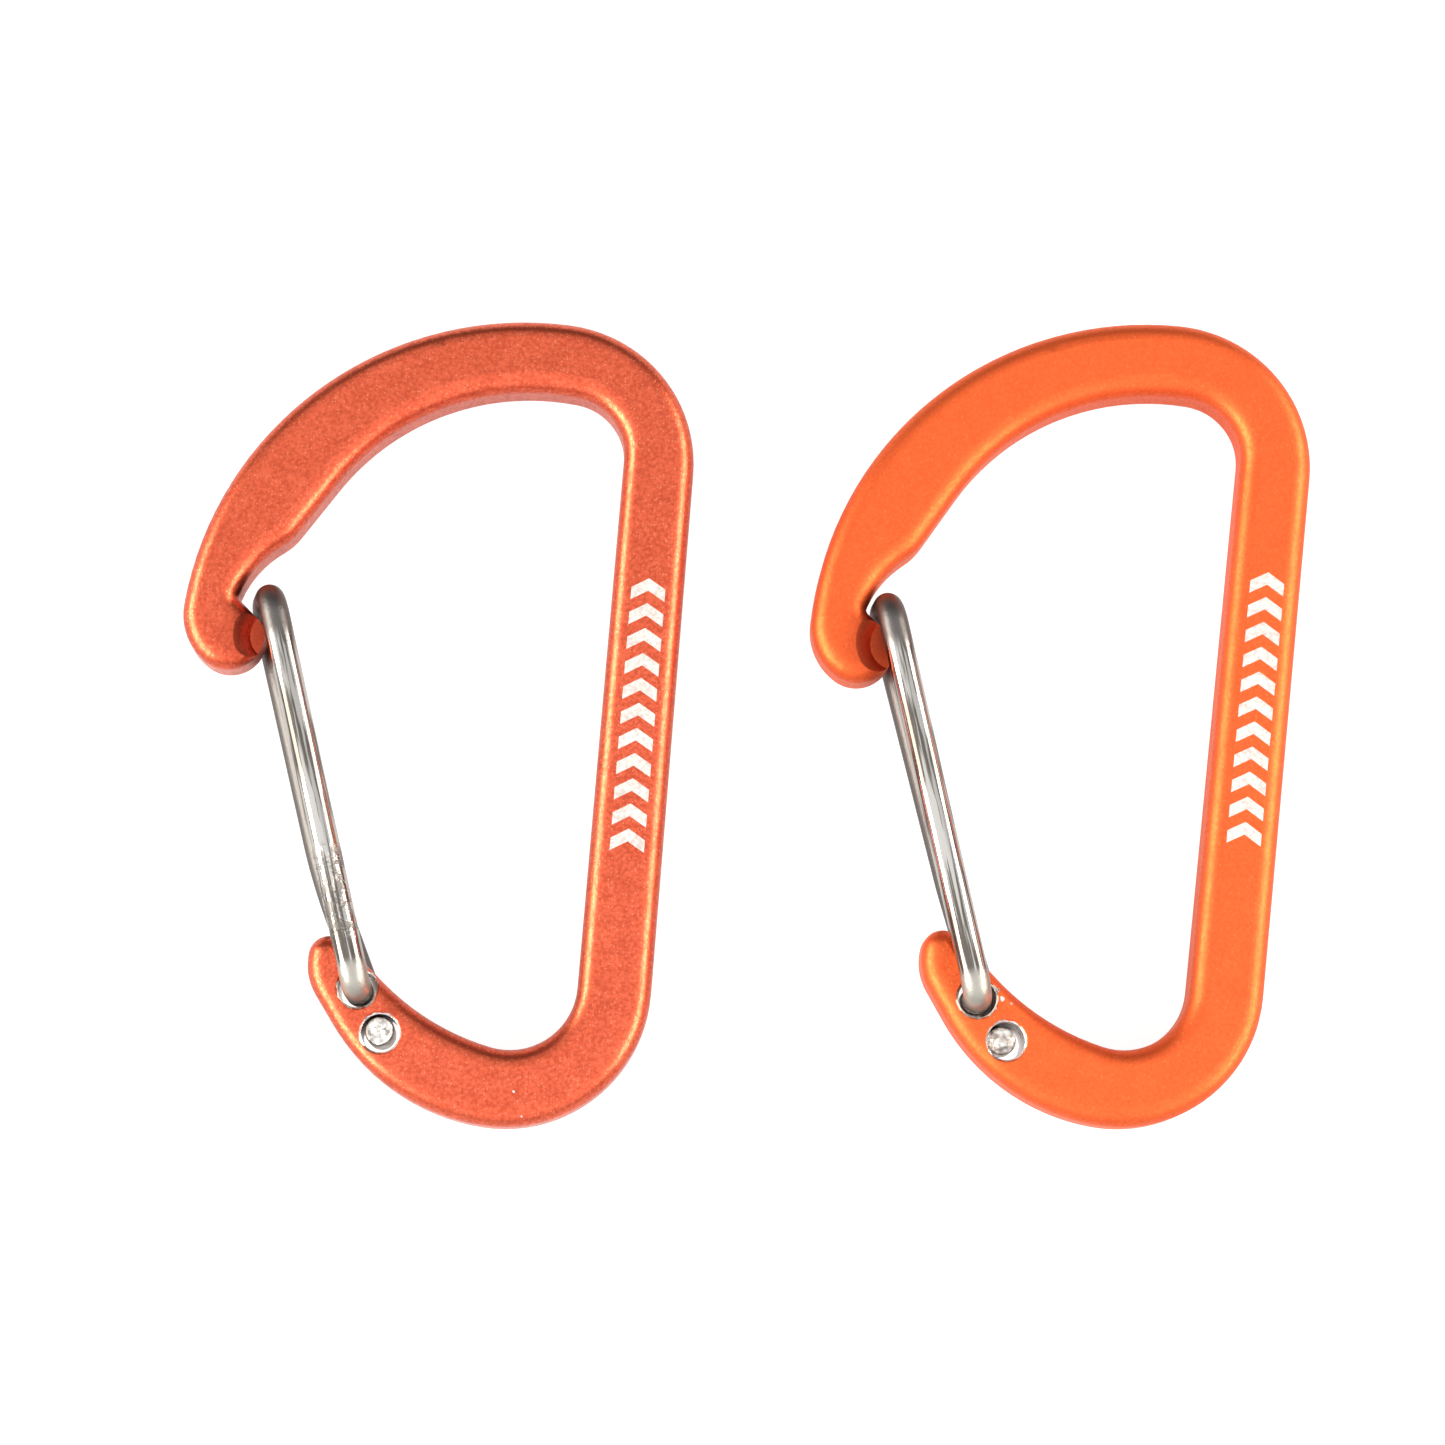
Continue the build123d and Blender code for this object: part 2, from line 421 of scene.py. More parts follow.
@dataclass(frozen=True)
class Anodise:
    """Bead-blasted aluminium under a clear dyed oxide, with sizes in millimetres."""

    name: str
    tone: Colour
    pale: Colour
    deep: Colour
    grain: float
    fleck_share: float
    fleck_strength: float
    relief: float
    roughness: float
    bare: Colour = rgba(0.86, 0.82, 0.80)
    bare_roughness: float = 0.2
    painted_pocket_shade: Colour = rgba(0.34, 0.042, 0.018)
    pocket_shade_reach: float = 5.2
    deep_rougher: float = 0.05
    tone_smoother: float = 0.03
    front_rim: Spot = (1.42, 0.11, 0.42)
    rear_rim: Spot = (1.41, 0.09, 0.26)
    rim_softness: float = 0.35
    chip_ragged: float = 2.4

    def material(self, effects: Effects, lie: Lie, chips: list[Spot], pocket: Vector) -> bpy.types.Material:
        """Builds the material for one frame.

        Args:
            effects: The shared shader groups.
            lie: Where the carabiner lies.
            chips: Bare spots on the front face, as x, y and radius in millimetres.
            pocket: The nose pocket's centre in millimetres, round which shade is painted into the colour.

        Returns:
            The finished material.
        """
        surface = Surface(self.name)
        graph = surface.graph
        grain = surface.grain(effects, self.grain, self.fleck_share)
        colour = graph.mix(grain.outputs["Mottle"], self.deep, self.tone)
        # Painted glints: paler flecks stand for the grains that catch the light.
        flecks = graph.math("MULTIPLY", grain.outputs["Flecks"], self.fleck_strength)
        colour = graph.mix(flecks, colour, self.pale)
        # Painted shade: the colour darkens softly round the nose pocket, deeper than the pocket's own shape shades
        # it.
        shade = self.wear_and_shade_ring(effects, surface, lie, pocket, (0.0, self.pocket_shade_reach, 0.0), 1.0)
        colour = graph.mix(shade, colour, self.painted_pocket_shade)
        bare = self.bare_metal(effects, surface, lie, chips)
        colour = graph.mix(bare, colour, self.bare)
        rough = graph.blend_values(
            grain.outputs["Mottle"], self.roughness + self.deep_rougher, self.roughness - self.tone_smoother
        )
        rough = graph.blend_values(bare, rough, self.bare_roughness)
        return surface.finish(colour, rough, grain.outputs["Height"], self.relief)

    def wear_and_shade_ring(
        self, effects: Effects, surface: Surface, lie: Lie, centre: Vector, shape: Spot, softness: float
    ) -> bpy.types.NodeSocket:
        """Masks a ring or spot through the bar, for bare wear and for the painted shade round the nose pocket.

        Args:
            effects: The shared shader groups.
            surface: The material that it is added to.
            lie: Where the carabiner lies.
            centre: The middle of the ring, in millimetres.
            shape: The ring's radius, width and raggedness, in millimetres.
            softness: The share of the width over which it fades.

        Returns:
            The mask.
        """
        radius, width, ragged = shape
        inputs = {
            "Vector": surface.place,
            "Centre": lie.at(centre.x, centre.y),
            "Axis": lie.across,
            "Radius": radius * MM,
            "Width": width * MM,
            "Ragged": ragged * MM,
            "Softness": softness,
        }
        return surface.graph.group(effects.rim, inputs).outputs["Mask"]

    def bare_metal(
        self, effects: Effects, surface: Surface, lie: Lie, chips: list[Spot]
    ) -> bpy.types.NodeSocket:
        """Marks where the oxide is gone: the drilled holes' rims and a few chips."""
        rings = [(lie.front_hole, self.front_rim), (lie.rear_hole, self.rear_rim)]
        for x, y, radius in chips:
            rings.append((Vector((x, y, 0.0)), (0.0, radius, radius * self.chip_ragged)))
        bare: Any = 0.0
        for centre, shape in rings:
            mask = self.wear_and_shade_ring(effects, surface, lie, centre, shape, self.rim_softness)
            bare = surface.graph.math("MAXIMUM", bare, mask)
        return bare


@dataclass(frozen=True)
class SpringWire:
    """Polished stainless wire that is frosted where it was bent and scuffed where it rubs.

    Sizes are in millimetres, and places along the wire start at the front hole.
    """

    name: str
    scar_from: float
    scar_to: float
    scar_amount: float
    bright: Colour = rgba(0.50, 0.48, 0.455)
    streak: Colour = rgba(0.13, 0.115, 0.10)
    frosted: Colour = rgba(0.36, 0.345, 0.31)
    dark: Colour = rgba(0.13, 0.12, 0.115)
    marks_per_metre: float = 60.0
    marks_per_turn: float = 9.0
    streak_low: float = 0.46
    streak_high: float = 0.57
    hinge_fade: tuple[float, float] = (-0.4, 0.5)
    crest_fade: tuple[float, float] = (-1.6, 0.2)
    scar_size: float = 1.1
    scar_fade: float = 1.5
    scar_darkness: float = 0.75
    scar_depth: float = -1.6
    scar_roughness: float = 0.5
    mark_depth: float = 0.25
    pits_per_metre: float = 5200.0
    relief: float = 0.02
    smoothest: float = 0.08
    dullest: float = 0.21
    frost: float = 0.42

    def worked(self, graph: Graph, along: Any, bend_end: float, crest_start: float) -> tuple[Any, Any]:
        """Masks the hinge bend and the crest.

        Args:
            graph: The material's graph.
            along: The socket with the distance along the wire, in metres.
            bend_end: Where the hinge bend ends.
            crest_start: Where the crest begins.

        Returns:
            The hinge's mask and the crest's mask.
        """
        low, high = ((bend_end + fade) * MM for fade in self.hinge_fade)
        hinge = graph.math("SUBTRACT", 1.0, graph.step(along, low, high))
        low, high = ((crest_start + fade) * MM for fade in self.crest_fade)
        return hinge, graph.step(along, low, high)

    def scuffs(self, effects: Effects, surface: Surface, along: Any) -> bpy.types.NodeSocket:
        """Masks the nicks on the stretch that rubs."""
        graph = surface.graph
        nicks = graph.group(
            effects.scars,
            {"Vector": surface.place, "Size": self.scar_size * MM, "Amount": self.scar_amount},
        )
        rise = graph.step(along, self.scar_from * MM, (self.scar_from + self.scar_fade) * MM)
        fall = graph.step(along, (self.scar_to - self.scar_fade) * MM, self.scar_to * MM)
        window = graph.math("MULTIPLY", rise, graph.math("SUBTRACT", 1.0, fall))
        return graph.math("MULTIPLY", nicks.outputs["Marks"], window)

    def material(self, effects: Effects, bend_end: float, crest_start: float) -> bpy.types.Material:
        """Builds the material.

        Args:
            effects: The shared shader groups.
            bend_end: Millimetres along the wire where the hinge bend ends.
            crest_start: Millimetres along the wire where the crest begins.

        Returns:
            The finished material, which reads the wire's own along and around attributes.
        """
        surface = Surface(self.name)
        graph = surface.graph
        along = graph.node("ShaderNodeAttribute", attribute_name="along").outputs["Fac"]
        around = graph.node("ShaderNodeAttribute", attribute_name="around").outputs["Fac"]
        stretched = {
            0: graph.math("MULTIPLY", along, self.marks_per_metre),
            1: graph.math("MULTIPLY", around, self.marks_per_turn),
        }
        lengthways = graph.node("ShaderNodeCombineXYZ", stretched)
        marks = graph.node(
            "ShaderNodeTexNoise", {"Vector": lengthways.outputs[0], "Scale": 2.0, "Detail": 4.0}
        ).outputs[0]
        hinge, crest = self.worked(graph, along, bend_end, crest_start)
        bent = graph.math("MAXIMUM", hinge, crest)
        scars = self.scuffs(effects, surface, along)
        colour = graph.mix(graph.step(marks, self.streak_low, self.streak_high), self.bright, self.streak)
        colour = graph.mix(hinge, colour, self.frosted)
        colour = graph.mix(crest, colour, self.dark)
        colour = graph.mix(graph.math("MULTIPLY", scars, self.scar_darkness), colour, self.dark)
        rough = graph.blend_values(marks, self.smoothest, self.dullest)
        rough = graph.blend_values(bent, rough, self.frost)
        rough = graph.blend_values(scars, rough, self.scar_roughness)
        pits = graph.node(
            "ShaderNodeTexNoise", {"Vector": surface.place, "Scale": self.pits_per_metre, "Detail": 2.0}
        )
        drawn = graph.math("MULTIPLY", marks, self.mark_depth)
        height = graph.math("ADD", drawn, graph.math("MULTIPLY", scars, self.scar_depth))
        height = graph.math("ADD", height, graph.math("MULTIPLY", bent, pits.outputs[0]))
        return surface.finish(colour, rough, height, self.relief)


@dataclass(frozen=True)
class ShearedEnd:
    """The torn bright face of a cropped wire, with sizes in millimetres."""

    name: str = "sheared_wire"
    dull: Colour = rgba(0.42, 0.40, 0.37)
    bright: Colour = rgba(0.88, 0.86, 0.83)
    torn: Colour = rgba(0.2, 0.19, 0.18)
    tear_size: float = 0.9
    tear_amount: float = 0.8
    tear_darkness: float = 0.6
    grain: float = 0.35
    fleck_share: float = 0.2
    relief: float = 0.06

    def material(self, effects: Effects) -> bpy.types.Material:
        """Builds the material for the pins that sit in the hinge holes."""
        surface = Surface(self.name)
        graph = surface.graph
        tears = graph.group(
            effects.scars,
            {"Vector": surface.place, "Size": self.tear_size * MM, "Amount": self.tear_amount},
        )
        grain = surface.grain(effects, self.grain, self.fleck_share)
        colour = graph.mix(grain.outputs["Mottle"], self.dull, self.bright)
        torn = graph.math("MULTIPLY", tears.outputs["Marks"], self.tear_darkness)
        colour = graph.mix(torn, colour, self.torn)
        rough = graph.blend_values(grain.outputs["Mottle"], 0.45, 0.28)
        return surface.finish(colour, rough, grain.outputs["Height"], self.relief)


@dataclass(frozen=True)
class EtchedMark:
    """Laser-frosted bare aluminium, with sizes in millimetres."""

    name: str = "etched_mark"
    dull: Colour = rgba(0.52, 0.45, 0.42)
    bright: Colour = rgba(0.76, 0.71, 0.68)
    grain: float = 0.3
    fleck_share: float = 0.15
    relief: float = 0.02
    metallic: float = 0.8

    def material(self, effects: Effects) -> bpy.types.Material:
        """Builds the pale frosted material of the mark on the spine."""
        surface = Surface(self.name)
        graph = surface.graph
        grain = surface.grain(effects, self.grain, self.fleck_share)
        colour = graph.mix(grain.outputs["Mottle"], self.dull, self.bright)
        rough = graph.blend_values(grain.outputs["Mottle"], 0.6, 0.5)
        return surface.finish(colour, rough, grain.outputs["Height"], self.relief, self.metallic)


# ---- geometry node tools -----------------------------------------------------------


def wire_tool() -> bpy.types.NodeTree:
    """A round wire along a line of corners, each bent to its own radius.

    Returns:
        A geometry tree. The line's points carry their radius as the attribute bend, and
        the wire carries the distance along it and the turn around it.
    """
    graph, given, result = new_group(
        "bent_wire",
        "GeometryNodeTree",
        [
            ("Geometry", "NodeSocketGeometry"),
            ("Wire Radius", "NodeSocketFloat"),
            ("Sides", "NodeSocketInt"),
            ("Bend Steps", "NodeSocketInt"),
            ("Material", "NodeSocketMaterial"),
        ],
        [("Geometry", "NodeSocketGeometry")],
    )
    bend = graph.node("GeometryNodeInputNamedAttribute", {"Name": "bend"}, data_type="FLOAT")
    line = graph.node("GeometryNodeMeshToCurve", {"Mesh": given.outputs["Geometry"]})
    bent = graph.node(
        "GeometryNodeFilletCurve",
        {
            "Curve": line.outputs[0],
            "Count": given.outputs["Bend Steps"],
            "Radius": bend.outputs["Attribute"],
        },
        mode="POLY",
    )
    travel = graph.node("GeometryNodeSplineParameter")
    route = graph.node(
        "GeometryNodeStoreNamedAttribute",
        {"Geometry": bent.outputs[0], "Name": "along", "Value": travel.outputs["Length"]},
        data_type="FLOAT",
        domain="POINT",
    )
    circle = graph.node(
        "GeometryNodeCurvePrimitiveCircle",
        {"Resolution": given.outputs["Sides"], "Radius": given.outputs["Wire Radius"]},
    )
    turn = graph.node("GeometryNodeSplineParameter")
    ring = graph.node(
        "GeometryNodeStoreNamedAttribute",
        {"Geometry": circle.outputs[0], "Name": "around", "Value": turn.outputs["Factor"]},
        data_type="FLOAT",
        domain="POINT",
    )
    tube = graph.node(
        "GeometryNodeCurveToMesh",
        {"Curve": route.outputs[0], "Profile Curve": ring.outputs[0], "Fill Caps": True},
    )
    smooth = graph.node("GeometryNodeSetShadeSmooth", {"Geometry": tube.outputs[0]})
    real = graph.node("GeometryNodeRealizeInstances", {"Geometry": smooth.outputs[0]})
    dressed = graph.node(
        "GeometryNodeSetMaterial", {"Geometry": real.outputs[0], "Material": given.outputs["Material"]}
    )
    graph.feed(result, {0: dressed.outputs[0]})
    return graph.tree


def row_tool() -> bpy.types.NodeTree:
    """A row of equal shapes along Y.

    Returns:
        A geometry tree that repeats the mesh it is given Count times, Pitch apart.
    """
    graph, given, result = new_group(
        "shape_row",
        "GeometryNodeTree",
        [
            ("Geometry", "NodeSocketGeometry"),
            ("Count", "NodeSocketInt"),
            ("Pitch", "NodeSocketFloat"),
            ("Material", "NodeSocketMaterial"),
        ],
        [("Geometry", "NodeSocketGeometry")],
    )
    step = graph.node("ShaderNodeCombineXYZ", {1: given.outputs["Pitch"]})
    points = graph.node(
        "GeometryNodeMeshLine", {"Count": given.outputs["Count"], "Offset": step.outputs[0]}
    )
    row = graph.node(
        "GeometryNodeInstanceOnPoints", {"Points": points.outputs[0], "Instance": given.outputs["Geometry"]}
    )
    real = graph.node("GeometryNodeRealizeInstances", {"Geometry": row.outputs[0]})
    dressed = graph.node(
        "GeometryNodeSetMaterial", {"Geometry": real.outputs[0], "Material": given.outputs["Material"]}
    )
    graph.feed(result, {0: dressed.outputs[0]})
    return graph.tree


def run_tool(
    name: str, mesh: bpy.types.Mesh, tool: bpy.types.NodeTree, values: dict[str, Any]
) -> bpy.types.Object:
    """Runs a geometry tree on a mesh and keeps the result as a plain mesh.

    Args:
        name: The name of the piece.
        mesh: What the tree starts from.
        tool: The geometry tree.
        values: The tree's inputs by name.

    Returns:
        The new object, at the origin, with no modifier left.
    """
    worked = place_object(f"{name}_source", mesh)
    modifier = worked.modifiers.new("tool", "NODES")
    modifier.node_group = tool
    for item in tool.interface.items_tree:
        if item.in_out == "INPUT" and item.name in values:
            modifier[item.identifier] = values[item.name]
    worked.update_tag()
    graph = bpy.context.evaluated_depsgraph_get()
    made = bpy.data.meshes.new_from_object(worked.evaluated_get(graph), depsgraph=graph)
    made.name = name
    bpy.data.objects.remove(worked)
    return place_object(name, made)


def closed_mesh(name: str, build: bmesh.types.BMesh) -> bpy.types.Mesh:
    """Turns a bmesh into a mesh whose faces look outward."""
    bmesh.ops.recalc_face_normals(build, faces=build.faces)
    mesh = bpy.data.meshes.new(name)
    build.to_mesh(mesh)
    build.free()
    return mesh


def wall(build: bmesh.types.BMesh, lower: Ring, upper: Ring) -> None:
    """Joins two rings of as many points with a band of faces."""
    for i in range(len(lower)):
        j = (i + 1) % len(lower)
        build.faces.new((lower[i], lower[j], upper[j], upper[i]))


def place_object(name: str, mesh: bpy.types.Mesh) -> bpy.types.Object:
    """Puts a mesh in the scene at the origin."""
    placed = bpy.data.objects.new(name, mesh)
    bpy.context.scene.collection.objects.link(placed)
    return placed


# ---- sub-assemblies ----------------------------------------------------------------


@dataclass
class HookFrame:
    """The forged hook, which keeps its CAD shape, with the mark on its spine.

    Sizes and places are in millimetres on the carabiner's own axes.
    """

    lie: Lie
    crest: tuple[float, float]
    finish: Anodise
    chips: list[Spot]
    mark_from: float
    pocket_below_crest: float = 2.9
    mark_count: int = 11
    mark_pitch: float = 1.86
    mark_width: float = 2.5
    mark_stroke: float = 0.92
    mark_rise: float = 0.75
    mark_centre: float = -2.62
    face_height: float = 2.5
    mark_proud: float = 0.012
    mark_sunk: float = 0.03

    def dress(self, effects: Effects) -> None:
        """Gives the CAD node its finish."""
        node = frame["nodes"][f"{self.lie.side.value}_frame"]
        crest = Vector((*self.crest, 0.0))
        hinge = Vector((self.lie.front_hole.x, self.lie.front_hole.y, 0.0))
        pocket = crest + (hinge - crest).normalized() * self.pocket_below_crest
        material = self.finish.material(effects, self.lie, self.chips, pocket)
        node.data.materials.clear()
        node.data.materials.append(material)
        LOG.info("%s dressed in %s", node.name, material.name)

    def chevron(self, name: str) -> bpy.types.Mesh:
        """One arrowhead plate that points up the spine, in millimetres."""
        half, rise, stroke = self.mark_width / 2, self.mark_rise, self.mark_stroke
        outline = [(-half, 0), (0, rise), (half, 0), (half, stroke), (0, rise + stroke), (-half, stroke)]
        build = bmesh.new()
        layers = [
            [build.verts.new((x, y, z)) for x, y in outline]
            for z in (-self.mark_sunk, self.mark_proud)
        ]
        for layer in layers:
            build.faces.new((layer[0], layer[1], layer[4], layer[5]))
            build.faces.new((layer[1], layer[2], layer[3], layer[4]))
        wall(build, layers[0], layers[1])
        return closed_mesh(name, build)

    def mark(self, tool: bpy.types.NodeTree, material: bpy.types.Material) -> bpy.types.Object:
        """Builds the plain row of chevrons on the spine's front face."""
        name = f"{self.lie.side.value}_spine_mark"
        values = {"Count": self.mark_count, "Pitch": self.mark_pitch, "Material": material}
        piece = run_tool(name, self.chevron(f"{name}_shape"), tool, values)
        start = Matrix.Translation((self.mark_centre, self.mark_from, self.face_height))
        piece.data.transform(self.lie.matrix @ start)
        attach(piece, f"{self.lie.side.value}_frame")
        LOG.info("%s: %d chevrons", name, self.mark_count)
        return piece


@dataclass
class GateWire:
    """The gate: one bent wire with a leg each side of the hook, and its two pins.

    Sizes and places are in millimetres on the carabiner's own axes.
    """

    lie: Lie
    crest: tuple[float, float]
    crest_twist: float
    knee_offset: float
    front_pin_end: float
    rear_pin_end: float
    finish: SpringWire
    radius: float = 1.047
    hinge_height: float = 3.72
    crest_height: float = 2.85
    knee_height: float = 3.45
    knee_place: float = 0.30
    hinge_bend: float = 1.6
    crest_bend: float = 1.8
    knee_bend: float = 45.0
    rear_pin_offset: float = 0.2
    wire_end: float = 1.95
    blend_height: float = 1.9
    wire_sides: int = 40
    bend_steps: int = 18
    frosted_bend: float = 0.62
    crest_reach: float = 0.9
    pin_slack: float = 0.006
    pin_lap: float = 0.05
    pin_rings: int = 9
    pin_shoulder: float = 0.35
    ring_spread: float = 0.8
    edge_round: float = 0.13
    edge_power: int = 6
    edge_shrink: float = 0.97
    tear_waves: float = 1.4
    tear_height: float = 0.22
    tear_slant: tuple[float, float] = (0.16, -0.10)

    @property
    def rear_pin(self) -> Vector:
        """The rear pin's axis, which the spring pushes towards the front hole."""
        rear = self.lie.rear_hole
        return rear + (self.lie.front_hole - rear).normalized() * self.rear_pin_offset

    def route(self) -> list[tuple[Vector, float]]:
        """The wire's corners from the front hole to the rear one, with their bend radii."""
        front, rear = self.lie.front_hole, self.rear_pin
        crest = Vector((*self.crest, 0.0))
        top = Vector((self.crest_twist, 0.0, self.crest_height))
        knee = front + (crest - front) * self.knee_place - Vector((self.knee_offset, 0.0, 0.0))
        return [
            (Vector((front.x, front.y, self.wire_end)), 0.0),
            (Vector((front.x, front.y, self.hinge_height)), self.hinge_bend),
            (crest + top, self.crest_bend),
            (crest - top, self.crest_bend),
            (Vector((knee.x, knee.y, -self.knee_height)), self.knee_bend),
            (Vector((rear.x, rear.y, -self.hinge_height)), self.hinge_bend),
            (Vector((rear.x, rear.y, -self.wire_end)), 0.0),
        ]

    def wire(self, tool: bpy.types.NodeTree, effects: Effects) -> bpy.types.Object:
        """Builds the wire from hole to hole and hides the CAD legs that it stands for."""
        side = self.lie.side.value
        name = f"{side}_gate_wire"
        corners = self.route()
        mesh = bpy.data.meshes.new(f"{name}_line")
        points = [self.lie.matrix @ point for point, _ in corners]
        mesh.from_pydata(points, [(i, i + 1) for i in range(len(points) - 1)], [])
        bend = mesh.attributes.new("bend", "FLOAT", "POINT")
        bend.data.foreach_set("value", [radius * MM for _, radius in corners])
        leg = (corners[2][0] - corners[1][0]).length
        bend_end = self.hinge_height - self.wire_end + self.hinge_bend * self.frosted_bend
        crest_start = bend_end + leg - (self.hinge_bend + self.crest_bend + self.crest_reach)
        values = {
            "Wire Radius": self.radius * MM,
            "Sides": self.wire_sides,
            "Bend Steps": self.bend_steps,
            "Material": self.finish.material(effects, bend_end, crest_start),
        }
        piece = run_tool(name, mesh, tool, values)
        x, y = self.crest
        start, end = (self.lie.at(x, y, z) for z in (self.blend_height, -self.blend_height))
        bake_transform(piece)
        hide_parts(f"{side}_gate_front_leg", f"{side}_gate_rear_leg")
        LOG.info("%s: %d faces", name, len(piece.data.polygons))
        return piece

    def ring(
        self,
        build: bmesh.types.BMesh,
        foot: Vector,
        size: float,
        height: float,
        torn_at: float | None = None,
    ) -> Ring:
        """Adds one ring of points round a pin's axis.

        Args:
            build: The bmesh that the points are added to.
            foot: The pin's axis, in millimetres.
            size: The ring's radius.
            height: The ring's height.
            torn_at: The height of the torn face that the ring lies on, if it is on one.

        Returns:
            The ring's points.
        """
        made = []
        for i in range(self.wire_sides):
            angle = 2 * math.pi * i / self.wire_sides
            x, y = size * math.cos(angle), size * math.sin(angle)
            lift = 0.0
            if torn_at is not None:
                spot = Vector((x + foot.x, y + foot.y, torn_at)) * self.tear_waves
                lift = noise.fractal(spot, 1.0, 2.0, 3) * self.tear_height
                lift += x * self.tear_slant[0] + y * self.tear_slant[1]
            made.append(build.verts.new((foot.x + x, foot.y + y, height + lift)))
        return made

    def pin(self, leg: str, foot: Vector, end: float, material: bpy.types.Material) -> bpy.types.Object:
        """Builds one wire end inside its hole, cropped with a torn, slanted face.

        Args:
            leg: Which leg it ends, front or rear.
            foot: The pin's axis, in millimetres.
            end: Height of the cropped end, in millimetres.
            material: The sheared metal.

        Returns:
            The pin.
        """
        body = f"{self.lie.side.value}_gate_{leg}"
        way = -1.0 if leg == "front" else 1.0
        inner = -way * (self.wire_end + self.pin_lap)
        radius = self.radius - self.pin_slack
        build = bmesh.new()
        loops = [
            self.ring(build, foot, radius, inner),
            self.ring(build, foot, radius, end - way * self.pin_shoulder),
        ]
        for i in range(self.pin_rings):
            share = 1.0 - i / self.pin_rings
            size = radius * share**self.ring_spread
            if i == 0:
                size *= self.edge_shrink
            height = end - way * self.edge_round * share**self.edge_power
            loops.append(self.ring(build, foot, size, height, torn_at=end))
        for lower, upper in zip(loops, loops[1:]):
            wall(build, lower, upper)
        build.faces.new(loops[0])
        build.faces.new(loops[-1])
        bmesh.ops.transform(build, matrix=self.lie.matrix, verts=build.verts)
        mesh = closed_mesh(f"{body}_pin", build)
        mesh.shade_smooth()
        mesh.materials.append(material)
        piece = place_object(f"{body}_pin", mesh)
        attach(piece, body)
        LOG.info("%s on %s", piece.name, body)
        return piece

    def pins(self, material: bpy.types.Material) -> None:
        """Builds both wire ends."""
        self.pin("front", self.lie.front_hole, self.front_pin_end, material)
        self.pin("rear", self.rear_pin, self.rear_pin_end, material)


# ---- studio ------------------------------------------------------------------------


DAYLIGHT = (1.0, 1.0, 1.0)
WARM = (1.0, 0.95, 0.86)


@dataclass(frozen=True)
class Softbox:
    """A flat light with a soft face, set by the radiance that the metal reflects.

    The place and size are in metres. A level one shines straight down.
    """

    name: str
    place: tuple[float, float, float]
    size: tuple[float, float]
    radiance: float
    colour: tuple[float, float, float] = DAYLIGHT
    level: bool = False

    def hang(self) -> None:
        """Adds the light, level or turned to the middle of the pair."""
        light = bpy.data.lights.new(self.name, "AREA")
        light.shape = "RECTANGLE"
        light.size, light.size_y = self.size
        light.energy = self.radiance * math.pi * self.size[0] * self.size[1]
        light.color = self.colour
        lamp = bpy.data.objects.new(self.name, light)
        lamp.location = self.place
        lamp.rotation_mode = "QUATERNION"
        if not self.level:
            lamp.rotation_quaternion = (-Vector(self.place)).to_track_quat("-Z", "Y")
        bpy.context.scene.collection.objects.link(lamp)


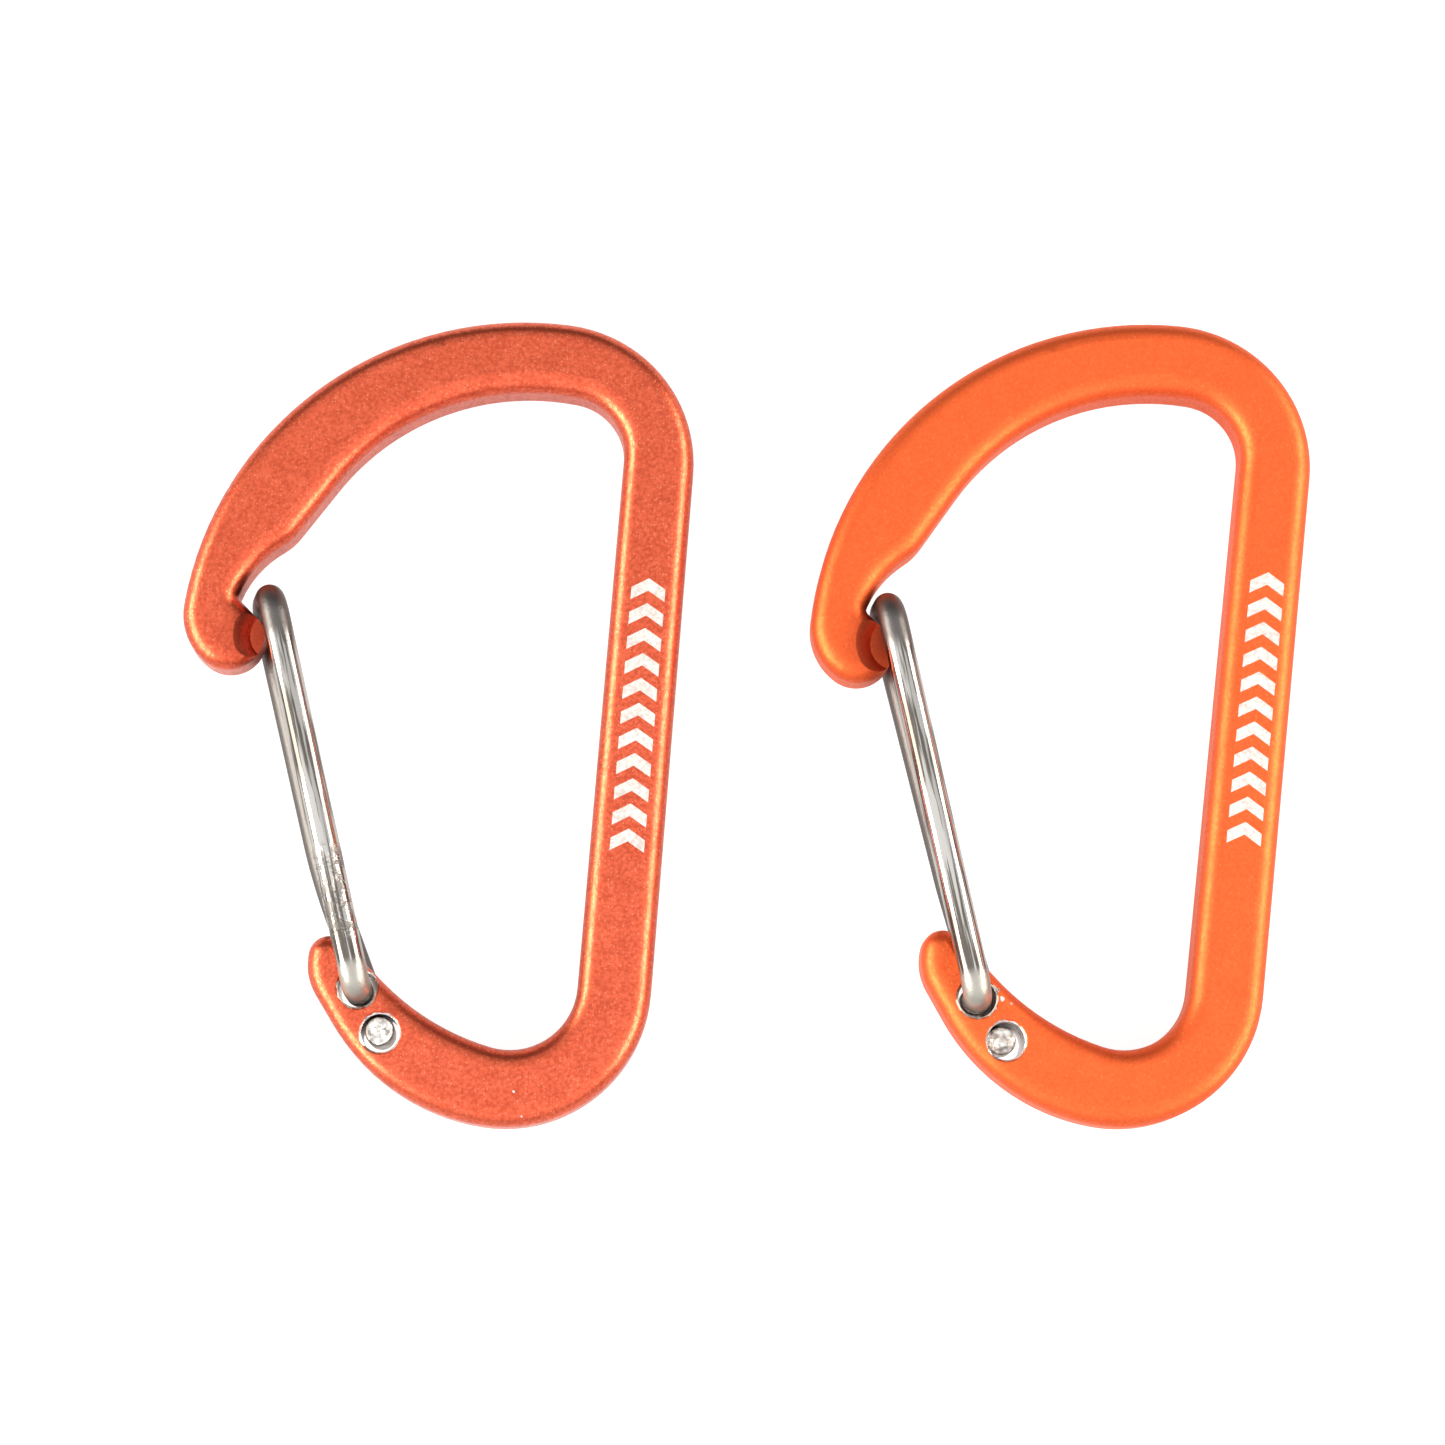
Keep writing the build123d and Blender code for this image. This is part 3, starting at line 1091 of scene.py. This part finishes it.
@dataclass
class Studio:
    """A white table under soft light, and the camera above it.

    Each glow is what the metal mirrors, then what the camera sees. Places are in metres.
    """

    camera_place: tuple[float, float, float] = (-0.00127, -0.03710, 0.30071)
    camera_aim: tuple[float, float, float] = (-0.00193, -0.00021, 0.00464)
    lens: float = 101.42
    sensor: float = 36.0
    clip: tuple[float, float] = (0.01, 20.0)
    table_half: float = 3.0
    table_glow: tuple[float, float] = (0.48, 0.80)
    table_tone: float = 0.36
    room_glow: tuple[float, float] = (0.16, 0.92)
    lights: list[Softbox] = field(
        default_factory=lambda: [
            Softbox("overhead", (0.0, -0.40, 0.80), (1.8, 1.20), 1.34, level=True),
            Softbox("rear_overhead", (0.0, 0.575, 0.80), (1.8, 0.75), 0.85, level=True),
            Softbox("left_strip", (-0.66, -0.08, 0.30), (1.0, 0.36), 10.5, WARM),
            Softbox("right_strip", (0.66, 0.0, 0.32), (1.0, 0.32), 9.0, WARM),
            Softbox("front_fill", (0.0, -0.98, 0.46), (1.6, 0.66), 1.35),
        ]
    )

    def table(self) -> None:
        """Lays the white table."""
        half = self.table_half
        mesh = bpy.data.meshes.new("table")
        corners = [(-half, -half, 0), (half, -half, 0), (half, half, 0), (-half, half, 0)]
        mesh.from_pydata(corners, [], [(0, 1, 2, 3)])
        table = place_object("table", mesh)
        material = bpy.data.materials.new("table_white")
        material.use_nodes = True
        material.node_tree.nodes.clear()
        graph = Graph(material.node_tree)
        seen = graph.node("ShaderNodeLightPath").outputs["Is Camera Ray"]
        strength = graph.blend_values(seen, *self.table_glow)
        glow = graph.node("ShaderNodeEmission", {"Color": WHITE, "Strength": strength})
        tone = rgba(self.table_tone, self.table_tone, self.table_tone)
        paper = graph.node("ShaderNodeBsdfDiffuse", {"Color": tone})
        both = graph.node("ShaderNodeAddShader", {0: glow.outputs[0], 1: paper.outputs[0]})
        graph.node("ShaderNodeOutputMaterial", {0: both.outputs[0]})
        mesh.materials.append(material)

    def surroundings(self) -> None:
        """Sets a pale backdrop over a dimmer room."""
        world = bpy.data.worlds.new("studio")
        bpy.context.scene.world = world
        world.use_nodes = True
        world.node_tree.nodes.clear()
        graph = Graph(world.node_tree)
        seen = graph.node("ShaderNodeLightPath").outputs["Is Camera Ray"]
        strength = graph.blend_values(seen, *self.room_glow)
        back = graph.node("ShaderNodeBackground", {"Color": WHITE, "Strength": strength})
        graph.node("ShaderNodeOutputWorld", {0: back.outputs[0]})

    def camera(self) -> None:
        """Hangs the camera over the pair, a little towards the lower bows."""
        lens = bpy.data.cameras.new("camera")
        lens.lens, lens.sensor_width = self.lens, self.sensor
        lens.clip_start, lens.clip_end = self.clip
        place, aim = Vector(self.camera_place), Vector(self.camera_aim)
        back = (place - aim).normalized()
        right = Vector((0.0, 1.0, 0.0)).cross(back).normalized()
        up = back.cross(right)
        camera = bpy.data.objects.new("camera", lens)
        camera.matrix_world = Matrix.Translation(place) @ Matrix((right, up, back)).transposed().to_4x4()
        bpy.context.scene.collection.objects.link(camera)
        bpy.context.scene.camera = camera

    def build(self) -> None:
        """Sets up the whole studio."""
        self.table()
        self.surroundings()
        for light in self.lights:
            light.hang()
        self.camera()
        view = bpy.context.scene.view_settings
        view.view_transform, view.look = "Standard", "None"


def main() -> None:
    """Builds both carabiners and the studio round them."""
    logging.basicConfig(level=logging.INFO, format="%(message)s")
    effects = Effects()
    wire, row = wire_tool(), row_tool()
    mark_finish, sheared = EtchedMark().material(effects), ShearedEnd().material(effects)
    left, right = Lie(Side.LEFT), Lie(Side.RIGHT)
    left_crest, right_crest = (-30.50, 37.55), (-30.14, 36.40)
    red_orange = Anodise(
        "anodise_red_orange",
        tone=rgba(0.745, 0.135, 0.066),
        pale=rgba(0.96, 0.34, 0.20),
        deep=rgba(0.50, 0.076, 0.036),
        grain=0.27,
        fleck_share=0.30,
        fleck_strength=0.42,
        relief=0.012,
        roughness=0.33,
    )
    bright_orange = Anodise(
        "anodise_bright_orange",
        tone=rgba(0.78, 0.134, 0.038),
        pale=rgba(0.97, 0.30, 0.12),
        deep=rgba(0.67, 0.104, 0.030),
        grain=0.24,
        fleck_share=0.10,
        fleck_strength=0.4,
        relief=0.009,
        roughness=0.48,
    )
    bow_specks = [(-9.3, 2.9, 0.11), (-8.6, 1.2, 0.09)]
    hinge_chips = [(-18.9, 8.6, 0.2), (-19.3, 9.2, 0.16), (-18.2, 8.3, 0.14)]
    hooks = [
        HookFrame(left, left_crest, red_orange, bow_specks, mark_from=20.9),
        HookFrame(right, right_crest, bright_orange, hinge_chips, mark_from=21.7),
    ]
    gates = [
        GateWire(
            left,
            left_crest,
            crest_twist=0.45,
            knee_offset=0.67,
            front_pin_end=-1.9,
            rear_pin_end=1.9,
            finish=SpringWire("left_spring_wire", scar_from=4.0, scar_to=12.0, scar_amount=0.9),
        ),
        GateWire(
            right,
            right_crest,
            crest_twist=0.10,
            knee_offset=-0.5,
            front_pin_end=-1.9,
            rear_pin_end=0.3,
            finish=SpringWire("right_spring_wire", scar_from=4.0, scar_to=8.0, scar_amount=0.3),
        ),
    ]
    for hook in hooks:
        hook.dress(effects)
        hook.mark(row, mark_finish)
    for gate in gates:
        gate.wire(wire, effects)
        gate.pins(sheared)
    Studio().build()


if __name__ == "__main__":
    main()
